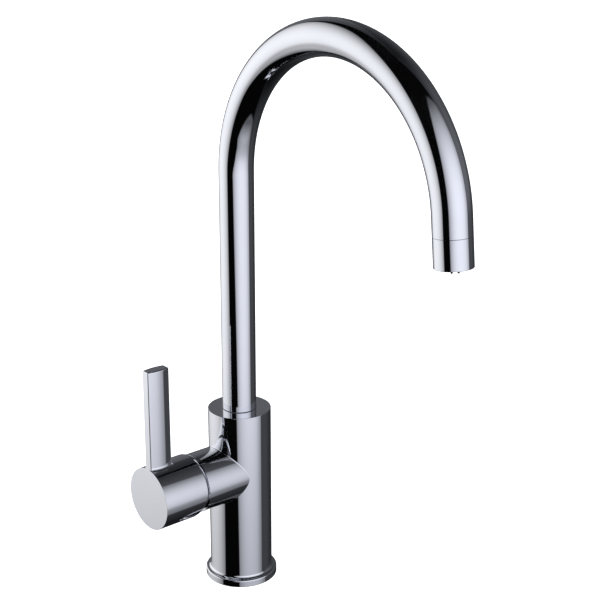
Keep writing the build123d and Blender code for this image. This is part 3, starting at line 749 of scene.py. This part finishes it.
@dataclass
class Spout:
    """The swan neck tube with its separate sleeve at the outlet."""

    radius: float = 12.5
    bore_r: float = 11.3
    edge_r: float = 0.12
    foot_bore_depth: float = 12.0
    end_bore_depth: float = 8.0
    bottom_z: float = 136.6
    riser_top_z: float = 314.7
    arch_r: float = 103.6
    arch_deg: float = 174.4
    outlet_straight: float = 12.25
    seam: float = 0.15
    sleeve_length: float = 19.35
    sleeve_edge_r: float = 0.4
    lip: float = 1.0
    lip_bore_r: float = 10.95
    lip_edge_r: float = 0.1
    neck: float = 7.0
    neck_bore_r: float = 10.63

    def outlet(self) -> Place:
        """The frame at the tube's end: its Z runs with the flow, and its X is the tap's."""
        turn = math.radians(self.arch_deg)
        flow = np.array([0.0, -math.sin(turn), math.cos(turn)])
        end = self.arch_r * np.array([0.0, math.cos(turn) - 1, math.sin(turn)])
        end = end + self.outlet_straight * flow + np.array([0.0, 0.0, self.riser_top_z])
        return Place(tuple(end), (1.0, 0.0, 0.0), (0.0, flow[2], -flow[1]), tuple(flow))

    def bend(self, radius: float, around: int = TUBE_ROUND, steps: int = 176) -> Patch:
        """A round wall carried along the spout's line.

        At angle b of the arch the line's point is (0, R cos b - R, top + R sin b) and its section
        is the circle spanned by X and the arch's own radius. The first and last sections are
        carried straight down to the tube's ends.

        Args:
            radius: the wall's radius.
            around: straight pieces round the section.
            steps: straight pieces along the arch.

        Returns:
            The wall.
        """
        turn = np.radians(np.linspace(0, self.arch_deg, steps + 1))
        turn = np.concatenate([turn[:1], turn, turn[-1:]])
        back, up = self.arch_r * (np.cos(turn) - 1), self.riser_top_z + self.arch_r * np.sin(turn)
        middle = np.stack([0 * turn, back, up], -1)
        middle[0, 2] = self.bottom_z + self.edge_r
        flow = np.array(self.outlet().z)
        middle[-1] = middle[-2] + (self.outlet_straight - self.edge_r) * flow
        out = np.stack([0 * turn, np.cos(turn), np.sin(turn)], -1)
        angle = np.linspace(0, 2 * math.pi, around + 1)
        ray = np.cos(angle)[:, None] * np.array([1.0, 0, 0]) + np.sin(angle)[:, None] * out[:, None]
        return Patch(middle[:, None] + radius * ray, ray)

    def tube(self) -> list[Patch]:
        """The tube's outer wall, and its two ends with slightly broken edges."""
        low = rounded([(self.bore_r, self.bottom_z + self.foot_bore_depth, 0),
                       (self.bore_r, self.bottom_z, self.edge_r), (self.radius, self.bottom_z, self.edge_r),
                       (self.radius, self.bottom_z + self.edge_r, 0)])
        high = rounded([(self.radius, -self.edge_r, 0), (self.radius, 0, self.edge_r),
                        (self.bore_r, 0, self.edge_r), (self.bore_r, -self.end_bore_depth, 0)])
        return [self.bend(self.radius), *lathe(low, UPRIGHT), *lathe(high, self.outlet())]

    def sleeve(self) -> list[Patch]:
        """The sleeve: a fine seam edge at its top and a rounded, lipped rim at its mouth."""
        long = self.sleeve_length
        path = rounded([(self.neck_bore_r, self.neck, 0), (self.neck_bore_r, self.seam, self.edge_r),
                        (self.radius, self.seam, self.edge_r), (self.radius, long, self.sleeve_edge_r),
                        (self.lip_bore_r, long, self.lip_edge_r), (self.lip_bore_r, long - self.lip, 0),
                        (self.bore_r, long - self.lip, 0), (self.bore_r, self.neck, 0),
                        (self.neck_bore_r, self.neck, 0)])
        return lathe(path, self.outlet())

    def build(self) -> list[bpy.types.Object]:
        """Makes the tube and its sleeve."""
        tube = write_mesh("spout_tube_skin", self.tube())
        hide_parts("spout_tube")
        sleeve = write_mesh("aerator_sleeve_skin", self.sleeve())
        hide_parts("aerator_sleeve")
        return [dress(tube, "spout", Slot.CHROME), dress(sleeve, "spout", Slot.CHROME)]


@dataclass
class Handle:
    """The hub with its partly slanted rear, the upright lever on it and the plug under it."""

    hub_r: float = 23.1
    rear_w: float = 44.9
    relief_deg: float = 20.5
    rear_edge_r: float = 2.8
    rear_edge_share: float = 0.8  # the edge takes up to this share of the rear face's width
    end_w: float = 83.2
    edge_r: float = 0.35
    wall: float = 1.5
    end_wall: float = 3.5
    front_w: float = 82.6
    back_w: float = 64.65
    end_half: float = 3.35
    half: float = 4.6
    corner_r: float = 1.0
    top_r: float = 1.0
    top_z: float = 184.7
    foot_r: float = 2.5
    least_facing: float = 0.1
    plug_w: float = 70.0
    plug_deg: float = 180.0
    plug_r: float = 2.5
    plug_gap: float = 0.06
    plug_edge_r: float = 0.25
    plug_depth: float = 2.5
    window_deg: tuple[float, float] = (165.0, 195.0)
    window_half: float = 5.0

    def hub(self) -> list[Patch]:
        """The hub: end disc, wall with the plug's hole, both halves of the rear, and the hollow."""
        low, high = self.plug_w - self.window_half, self.plug_w + self.window_half
        inner = self.hub_r - self.wall
        front = rounded([(self.hub_r, high, 0), (self.hub_r, self.end_w, self.edge_r), (0, self.end_w, 0)])
        band = Outline(self.hub_r, low).line(self.hub_r, high, 16)
        hollow = Outline(0.0, self.end_w - self.end_wall).line(inner, self.end_w - self.end_wall)
        hollow.line(inner, PIVOT_W)
        start, end = self.window_deg
        window, spot = (start, end, low, high), (self.plug_deg, self.plug_w, self.plug_r)
        hole = pierced_wall(BARREL, self.hub_r, window, spot)
        down = Place((-self.plug_w, 0.0, BARREL_Z), (1.0, 0.0, 0.0), (0.0, -1.0, 0.0), (0.0, 0.0, -1.0))
        bore = lathe(Outline(self.plug_r, self.hub_r).line(self.plug_r, inner), down, HOLE_ROUND)
        return [*lathe(front, BARREL, ROUND), *lathe(band, BARREL, ROUND, (end, start + 360)), hole, *bore,
                self.rear(-90, 90, low), self.rear(90, 270, low), *lathe(hollow, BARREL, ROUND)]

    def rear(self, first: float, last: float, wall_to: float) -> Patch:
        """Half of the hub's rear: the wall, a rounded edge, the rear face and the ball-shaped hollow.

        At angle a from the top the rear face lies at w = rear + r s, with s = max(0, -cos a) tan(relief).
        It meets the hollow's ball, of radius b round the pivot, where
        r = (d s + sqrt(d^2 s^2 - (1 + s^2)(d^2 - b^2))) / (1 + s^2), with d = pivot - rear.

        Args:
            first: the half's first angle from the top, in degrees.
            last: its last angle.
            wall_to: the height w at which the wall's next band starts.

        Returns:
            The patch, from the wall to the pivot.
        """
        angle = np.radians(np.linspace(first, last, ROUND // 2 + 1))
        radial = np.stack([np.cos(angle), np.sin(angle), 0 * angle], -1)
        slant = np.maximum(0, -np.cos(angle)) * math.tan(math.radians(self.relief_deg))
        inner, behind = self.hub_r - self.wall, PIVOT_W - self.rear_w
        meet = behind * slant + np.sqrt((behind * slant) ** 2 - (1 + slant**2) * (behind**2 - inner**2))
        meet /= 1 + slant**2
        tilt = math.radians(self.relief_deg) if first + last > 180 else 0.0
        back = np.broadcast_to([-math.sin(tilt), 0.0, -math.cos(tilt)], radial.shape)
        rows, normals = [], []

        def along(height: np.ndarray | float) -> np.ndarray:
            """Offsets along the barrel, one for each angle."""
            return np.stack([0 * angle, 0 * angle, height + 0 * angle], -1)

        def ring(radius: np.ndarray | float, height: np.ndarray | float, normal: np.ndarray) -> None:
            """Adds one ring of points at these radii and heights."""
            rows.append(radial * np.reshape(radius, (-1, 1)) + along(height))
            normals.append(normal)

        edge = np.minimum(self.rear_edge_r, self.rear_edge_share * (self.hub_r - meet))
        outside = self.rear_w + self.hub_r * slant
        for share in np.linspace(1, 0, 6):
            ring(self.hub_r, outside + edge + (wall_to - outside - edge) * share, radial)
        for turn in np.radians(np.linspace(15, 90, 6)):
            normal = radial * math.cos(turn) + back * math.sin(turn)
            reach = self.hub_r - edge * (1 - math.cos(turn))
            ring(reach, self.rear_w + reach * slant + edge * (1 - math.sin(turn)), normal)
        for share in (0.5, 1.0):
            reach = (self.hub_r - edge) * (1 - share) + meet * share
            ring(reach, self.rear_w + reach * slant, back)
        start = np.arcsin((behind - meet * slant) / inner)
        for share in np.linspace(0, 1, 17):
            down = start * (1 - share)
            inward = along(np.sin(down)) - radial * np.cos(down)[:, None]
            ring(inner * np.cos(down), PIVOT_W - inner * np.sin(down), inward)
        return Patch(BARREL.put(np.array(rows)), BARREL.turn(np.array(normals)))

    def plan(self) -> tuple[np.ndarray, np.ndarray]:
        """The lever's plan, as (x, y) points with outward directions, round the whole section.

        The side is one arc, parallel to X halfway between the flat ends. A small corner arc touches
        both it and the front's line. The quarter is mirrored to the back, then to the other side.

        Returns:
            The points, and their outward directions.
        """
        run, rise = (self.front_w - self.back_w) / 2, self.half - self.end_half
        middle = self.front_w - run
        big = (run**2 + rise**2) / (2 * rise)
        centre = np.array([-middle, self.half - big])
        corner = np.array([-self.front_w + self.corner_r, 0.0])
        corner[1] = centre[1] + math.sqrt((big - self.corner_r) ** 2 - (corner[0] - centre[0]) ** 2)
        meet = math.atan2(*(corner - centre)[::-1])
        turn, side = np.linspace(math.pi, meet, 13), np.linspace(meet, math.pi / 2, 41)[1:]
        angle = np.append(turn, side)
        outward = np.stack([np.cos(angle), np.sin(angle)], 1)
        points = np.concatenate([corner + self.corner_r * outward[:turn.size],
                                 centre + big * outward[turn.size:]])
        to_back, across = np.array([-1.0, 1.0]), np.array([1.0, -1.0])
        mirrored = points * to_back - np.array([2 * middle, 0.0])
        points = np.concatenate([points, mirrored[-2::-1]])
        outward = np.concatenate([outward, (outward * to_back)[-2::-1]])
        return (np.concatenate([points, (points * across)[::-1]]),
                np.concatenate([outward, (outward * across)[::-1]]))

    def lever(self) -> list[Patch]:
        """The upright lever: a wall on its plan, a fillet to the hub, rounded top edges and a flat top.

        A ball of radius q that rolls round the foot has its centre at q outside the plan, at the
        height where it touches the hub: sqrt((hub + q)^2 - y^2) over the barrel's axis. The fillet
        is the ball's arc from the hub to the lever. Near the flat front the ball is as small as the
        room up to the hub's end asks for. At angle t of the top edge, the plan is drawn in by
        e(1 - cos t) and raised by e sin t.

        Returns:
            The foot's fillet, the wall, the rounded top edge and the flat top.
        """
        plan, outward = self.plan()
        plan, outward = np.concatenate([plan, plan[:1]]), np.concatenate([outward, outward[:1]])
        room = self.end_w - self.edge_r + plan[:, 0]
        q = np.minimum(self.foot_r, room / np.maximum(-outward[:, 0], self.least_facing))
        x, y = (plan + q[:, None] * outward).T
        z = np.sqrt((self.hub_r + q) ** 2 - y**2)
        centre = np.stack([x, y, z], -1)
        to_hub = np.stack([0 * x, -y, -z], -1) / (self.hub_r + q)[:, None]
        to_lever = np.concatenate([-outward, 0 * x[:, None]], 1)
        ray = swung(to_hub, to_lever, 10)
        foot = Patch(centre + q[None, :, None] * ray + np.array([0, 0, BARREL_Z]), -ray)
        flat = np.concatenate([outward, 0 * x[:, None]], 1)
        edge = self.top_z - self.top_r
        low = np.concatenate([plan, (z + BARREL_Z)[:, None]], 1)
        high = np.concatenate([plan, np.full((len(plan), 1), edge)], 1)
        wall = straight_wall(low, high, flat)
        turn = np.radians(np.linspace(0, 90, 9))[:, None, None]
        up = np.array([0.0, 0.0, 1.0])
        brow = Patch(high - self.top_r * (1 - np.cos(turn)) * flat + self.top_r * np.sin(turn) * up,
                     np.cos(turn) * flat + np.sin(turn) * up)
        half = (len(plan) - 1) // 2
        rim = brow.points[-1]
        cap = np.stack([rim[:half], rim[::-1][1:half + 1]], 1)
        return [foot, wall, brow, Patch(cap, np.broadcast_to(up, cap.shape).copy())]

    def plug(self) -> list[Patch]:
        """The plug: a disc bent to the hub's curve, with a broken edge, and its side.

        At radius s and angle a round the plug, the point lies sqrt(hub^2 - (s sin a)^2) below the
        barrel's axis, lowered near the edge by a quarter circle.

        Returns:
            One patch, from the plug's middle over its edge and down its side.
        """
        size, edge = self.plug_r - self.plug_gap, self.plug_edge_r
        turn = np.radians(np.linspace(0, 90, 7))
        ring = np.concatenate([np.linspace(0, size - edge, 6)[:-1], size - edge + edge * np.sin(turn)])
        drop = np.concatenate([np.zeros(5), edge * (1 - np.cos(turn))])
        ring, drop = np.append(ring, size), np.append(drop, self.plug_depth)
        tilt = np.concatenate([np.zeros(5), np.sin(turn), [1.0]])[:, None]
        angle = np.linspace(0, 2 * math.pi, HOLE_ROUND + 1)[None, :]
        u, v = ring[:, None] * np.cos(angle), ring[:, None] * np.sin(angle)
        depth = np.sqrt(self.hub_r**2 - v**2) - drop[:, None]
        points = np.stack([-self.plug_w + u, v, BARREL_Z - depth], -1)
        flat = np.stack([0 * u, v / self.hub_r, -np.sqrt(1 - (v / self.hub_r) ** 2)], -1)
        side = np.stack([np.cos(angle) + 0 * u, np.sin(angle) + 0 * u, 0 * u], -1)
        return [Patch(points, flat * np.sqrt(1 - tilt**2)[..., None] + side * tilt[..., None])]

    def build(self) -> list[bpy.types.Object]:
        """Makes the handle's skin and the plug."""
        skin = write_mesh("handle_skin", [*self.hub(), *self.lever()])
        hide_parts("handle")
        plug = write_mesh("handle_plug_skin", self.plug())
        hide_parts("handle_plug")
        return [dress(skin, "lever", Slot.CHROME), dress(plug, "lever", Slot.DARK_PLASTIC)]


@dataclass
class Dome:
    """The polished dome under the handle, which shows while the lever is tilted."""

    radius: float = 21.0
    wall: float = 1.2
    collar_r: float = 13.73
    bore_r: float = 12.53
    collar_w: tuple[float, float] = (37.0, 45.0)
    edge_w: float = 56.0

    def section(self) -> Outline:
        """The dome's outline: outer ball, open edge, inner ball and the collar on the cartridge."""
        inner = self.radius - self.wall
        outer_from = math.degrees(math.acos(self.collar_r / self.radius))
        inner_to = math.degrees(math.acos(self.collar_r / inner))
        past = self.edge_w - PIVOT_W
        path = Outline(self.bore_r, self.collar_w[0]).line(self.collar_r, self.collar_w[0])
        path.line(self.collar_r, PIVOT_W - math.sqrt(self.radius**2 - self.collar_r**2))
        path.arc((0.0, PIVOT_W), -outer_from, math.degrees(math.asin(past / self.radius)), 48)
        path.line(math.sqrt(inner**2 - past**2), self.edge_w)
        path.arc((0.0, PIVOT_W), math.degrees(math.asin(past / inner)), -inner_to, 32)
        return path.line(self.collar_r, self.collar_w[1]).line(self.bore_r, self.collar_w[1]).line(
            self.bore_r, self.collar_w[0])

    def build(self) -> list[bpy.types.Object]:
        """Makes the dome's skin."""
        skin = write_mesh("cover_dome_skin", lathe(self.section(), BARREL))
        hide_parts("cover_dome")
        return [dress(skin, "tap", Slot.CHROME)]


@dataclass
class Inside:
    """The inner parts: their own solids, with clean shading on the ones that can be seen."""

    seen: dict[str, tuple[str, Slot]] = field(default_factory=lambda: {
        "base_gasket": ("tap", Slot.RUBBER), "inlet_block": ("tap", Slot.BRASS),
        "hot_inlet_socket": ("tap", Slot.BRASS), "cold_inlet_socket": ("tap", Slot.BRASS),
        "filtered_inlet_socket": ("tap", Slot.BRASS), "inlet_block_screws": ("tap", Slot.STEEL),
        "spout_retaining_screw": ("tap", Slot.STEEL), "spout_upper_bush": ("tap", Slot.DARK_PLASTIC),
        "aerator_core": ("spout", Slot.DARK_PLASTIC), "aerator_screen": ("spout", Slot.STEEL),
        "filtered_nozzle": ("spout", Slot.BRASS)})

    def build(self) -> list[bpy.types.Object]:
        """Copies the seen solids with joined faces, and gives every other solid its finish."""
        made = []
        for node, (body, slot) in self.seen.items():
            piece = merged_copy(node, node + "_skin")
            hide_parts(node)
            made.append(dress(piece, body, slot))
        for part in frame["record"]["subparts"]:
            solid = frame["nodes"][part["node"]]
            solid.data.materials.clear()
            solid.data.materials.append(finish_material(Slot(part["material_slot"])))
        return made


# ---------------------------------------------------------------- studio
def placed(across: np.ndarray, over: np.ndarray, look: np.ndarray, spot: np.ndarray) -> Matrix:
    """The matrix of a camera or lamp.

    Args:
        across: the direction to its right.
        over: the direction up from it.
        look: the direction in which it looks.
        spot: its place, in metres.

    Returns:
        The matrix.
    """
    columns = np.stack([across, over, -look, spot], 1)
    return Matrix([*columns.tolist(), [0, 0, 0, 1]])


@dataclass(frozen=True)
class View:
    """The photograph's camera: its place in millimetres and its turns in degrees."""

    spot: tuple[float, float, float] = (-587.11, -753.76, 539.41)
    yaw: float = 40.600
    pitch: float = 18.532
    roll: float = 0.096
    lens: float = 83.69
    sensor: float = 36.0

    def right(self) -> tuple[float, float]:
        """The direction across the picture to the right, in plan."""
        return (math.cos(math.radians(self.yaw)), -math.sin(math.radians(self.yaw)))

    def front(self) -> tuple[float, float]:
        """The direction from the tap to the camera, in plan."""
        return (-math.sin(math.radians(self.yaw)), -math.cos(math.radians(self.yaw)))

    def build(self) -> None:
        """Makes the camera. It looks along (sin y cos p, cos y cos p, -sin p) for yaw y and pitch p."""
        yaw, pitch, roll = (math.radians(angle) for angle in (self.yaw, self.pitch, self.roll))
        level = math.cos(pitch)
        look = np.array([math.sin(yaw) * level, math.cos(yaw) * level, -math.sin(pitch)])
        across = np.array([math.cos(yaw), -math.sin(yaw), 0.0])
        over = np.cross(across, look)
        across, over = (across * math.cos(roll) + over * math.sin(roll),
                        over * math.cos(roll) - across * math.sin(roll))
        data = bpy.data.cameras.new("photo_camera")
        data.lens, data.sensor_width, data.sensor_fit = self.lens, self.sensor, "AUTO"
        data.clip_start, data.clip_end = 0.05, 30.0
        camera = linked("photo_camera", data)
        camera.matrix_world = placed(across, over, look, np.array(self.spot) * MM)
        bpy.context.scene.camera = camera


@dataclass(frozen=True)
class SoftBox:
    """A round soft box, seen only in the metal.

    Angles are in degrees: azimuth from the camera, to the right as the camera sees it, and
    elevation above the horizon. The light fades from its brightest spot towards its edge.
    """

    centre: tuple[float, float]
    half: tuple[float, float]
    brightest: tuple[float, float]
    reach: tuple[float, float]
    tone: tuple[float, float, float]
    squeeze: float
    soft: float = 0.07


@dataclass(frozen=True)
class Studio:
    """A dark studio with two large round soft boxes, in front of which the camera sees plain white."""

    view: View
    lamp_size: float = 2.4
    lamp_energy: float = 30.0
    lamp_spot: tuple[float, float, float] = (-1.6, -1.4, 2.3)
    lamp_aim: tuple[float, float, float] = (0.0, -0.08, 0.2)
    floor_half: float = 6.0
    floor_glow: float = 0.8
    fill: tuple[float, float, float] = (0.88, 0.89, 0.92)
    black: tuple[float, float, float] = (0.0016, 0.0016, 0.0018)
    rear: tuple[float, float, float] = (0.135, 0.14, 0.152)
    rear_middle: float = -32.5
    rear_from: float = 119.0
    rear_soft: float = 2.0
    rear_height: tuple[float, float] = (78.0, 4.0)
    rear_least: float = 0.12
    rear_side: tuple[float, float] = (110.0, 145.0)
    rear_side_loss: float = 0.5
    rear_under: tuple[float, float] = (2.0, -12.0)
    rear_low: float = 0.5
    near_low: tuple[float, float] = (-36.0, -30.0)
    near_high: tuple[float, float] = (-24.0, -12.0)
    low_from: tuple[float, float] = (-20.0, -31.0)
    low_to: tuple[float, float] = (-42.0, -34.0)
    edge_fade: float = 0.5
    low_fade: float = 0.26
    right_side: tuple[float, float] = (62.0, 87.0)
    right_fade: float = 0.25
    least: float = 0.1
    boxes: tuple[SoftBox, ...] = (
        SoftBox((-107, 0), (50, 54), (-118, 1), (94, 64), (1.10, 1.11, 1.13), squeeze=-0.10),
        SoftBox((46, 1), (69, 61), (33, 3), (92, 61), (1.01, 1.03, 1.115), squeeze=0.19),
    )

    def build(self) -> None:
        """Makes the world.

        A direction's elevation is the arc sine of its Z and its azimuth is the arc tangent of its
        parts to the right of and towards the camera, in degrees. Behind the tap the studio is dark
        grey, brighter near the horizon, and elsewhere it is black but for the soft boxes.
        """
        world = bpy.data.worlds.new("studio")
        bpy.context.scene.world = world
        graph = Graph(world)
        parts = graph.add("SeparateXYZ", {}, {"Vector": graph.add("TexCoord").outputs["Generated"]}).outputs
        x, y, z = (Value(graph, part) for part in parts)
        right, front = self.view.right(), self.view.front()
        across, towards = x * right[0] + y * right[1], x * front[0] + y * front[1]
        azimuth = across.maths("ARCTAN2", across, towards) * math.degrees(1)
        elevation = z.maths("ARCSINE", z) * math.degrees(1)
        rear_edge = (self.rear_from - self.rear_soft, self.rear_from + self.rear_soft)
        behind = (azimuth - self.rear_middle).size().step(*rear_edge)
        depth = elevation.size().step(*self.rear_height) * (1.0 - self.rear_least) + self.rear_least
        depth = depth * (1.0 - self.rear_side_loss * azimuth.step(*self.rear_side))
        depth = depth * (1.0 - self.rear_low * elevation.step(*self.rear_under))
        tone = graph.mix(behind * depth, colour(*self.black), colour(*self.rear))
        near = elevation.step(*self.near_low) * elevation.step(*self.near_high[::-1])
        low = elevation.step(*self.low_from) * elevation.step(*self.low_to)
        kept = (1.0 - self.low_fade * low) * (1.0 - self.right_fade * azimuth.step(*self.right_side))
        for box in self.boxes:
            inside = self.inside(box, azimuth, elevation, near)
            tone = graph.mix(inside.step(-box.soft, box.soft) * (1.0 - behind), tone,
                             self.glow(graph, box, azimuth, elevation, inside, kept))
        paths = graph.add("LightPath").outputs
        tone = graph.mix(Value(graph, paths["Is Glossy Ray"]), colour(*self.fill), tone)
        tone = graph.mix(Value(graph, paths["Is Camera Ray"]), tone, colour(1, 1, 1))
        back = graph.add("Background", {}, {"Color": tone, "Strength": 1.0})
        graph.add("OutputWorld", {}, {"Surface": back.outputs[0]})

    def inside(self, box: SoftBox, azimuth: Value, elevation: Value, near: Value) -> Value:
        """How far a direction lies inside a soft box: 1 at its centre, 0 on its edge.

        Its edge is the ellipse where the squares of azimuth and elevation from its centre, over
        its half sizes, add up to one. Low directions, which only the upright body mirrors, see it
        squeezed towards its centre, as a box that stands near would look from there.

        Args:
            box: the soft box.
            azimuth: the direction's azimuth, in degrees.
            elevation: its elevation, in degrees.
            near: 1 in the low directions and 0 elsewhere.

        Returns:
            1 less the square of the way out from the centre, so it is negative outside.
        """
        across = (azimuth - box.centre[0]) * (1.0 + box.squeeze * near) / box.half[0]
        up = (elevation - box.centre[1]) / box.half[1]
        return 1.0 - across * across - up * up

    def glow(self, graph: Graph, box: SoftBox, azimuth: Value, elevation: Value, inside: Value,
             kept: Value) -> bpy.types.NodeSocket:
        """A box's light: its tone, less the square of the way from its brightest spot on both axes.

        It also loses a share towards the edge, by the fourth power of how far out a direction
        lies.

        Args:
            graph: the world's nodes.
            box: the soft box.
            azimuth: the direction's azimuth, in degrees.
            elevation: its elevation, in degrees.
            inside: how far inside the box the direction lies.
            kept: the share left in the low directions and far to the right.

        Returns:
            The light's colour.
        """
        across = (azimuth - box.brightest[0]) / box.reach[0]
        up = (elevation - box.brightest[1]) / box.reach[1]
        out = 1.0 - inside
        level = (1.0 - across * across) * (1.0 - up * up) * (1.0 - self.edge_fade * (out * out)) * kept
        return graph.mix(level.maths("MAXIMUM", level, self.least), colour(0, 0, 0), colour(*box.tone))

    def floor(self) -> None:
        """A plain pale floor: the camera sees it white with the tap's shadow, the metal looks past it."""
        half = self.floor_half
        mesh = bpy.data.meshes.new("floor")
        corners = [(-half, -half, 0), (half, -half, 0), (half, half, 0), (-half, half, 0)]
        mesh.from_pydata(corners, [], [(0, 1, 2, 3)])
        floor = linked("floor", mesh)
        material = bpy.data.materials.new("floor")
        graph = Graph(material)
        paths = graph.add("LightPath").outputs
        lit = graph.add("BsdfDiffuse", {}, {"Color": colour(0.8, 0.8, 0.8)})
        glow = graph.add("Emission", {}, {"Color": colour(1, 1, 1), "Strength": self.floor_glow})
        white = graph.add("AddShader", {}, {0: lit.outputs[0], 1: glow.outputs[0]})
        own = graph.add("MixShader", {}, {0: paths["Is Camera Ray"], 1: lit.outputs[0],
                                          2: white.outputs[0]})
        clear = graph.add("BsdfTransparent")
        out = graph.add("MixShader", {}, {0: paths["Is Glossy Ray"], 1: own.outputs[0],
                                          2: clear.outputs[0]})
        graph.add("OutputMaterial", {}, {"Surface": out.outputs[0]})
        mesh.materials.append(material)

    def light(self) -> None:
        """One large soft light above the camera's left, which the metal doesn't see."""
        data = bpy.data.lights.new("soft_light", "AREA")
        data.shape, data.size, data.energy = "DISK", self.lamp_size, self.lamp_energy
        lamp = linked("soft_light", data)
        spot = np.array(self.lamp_spot)
        aim = np.array(self.lamp_aim) - spot
        aim /= np.linalg.norm(aim)
        across = np.cross(aim, [0, 0, 1])
        across /= np.linalg.norm(across)
        over = np.cross(across, aim)
        lamp.matrix_world = placed(across, over, aim, spot)
        lamp.visible_glossy = False


def main() -> None:
    """Builds the tap's pieces in order, logging each one's face count, then the studio."""
    logging.basicConfig(level=logging.INFO, format="%(name)s: %(message)s")
    bpy.context.scene.view_settings.view_transform = "Standard"
    for assembly in (BaseRing(), Body(), Dome(), Handle(), Spout(), Inside()):
        for piece in assembly.build():
            LOG.info("%s: %d faces", piece.name, len(piece.data.polygons))
    view = View()
    view.build()
    studio = Studio(view)
    studio.build()
    studio.floor()
    studio.light()


if __name__ == "__main__":
    main()
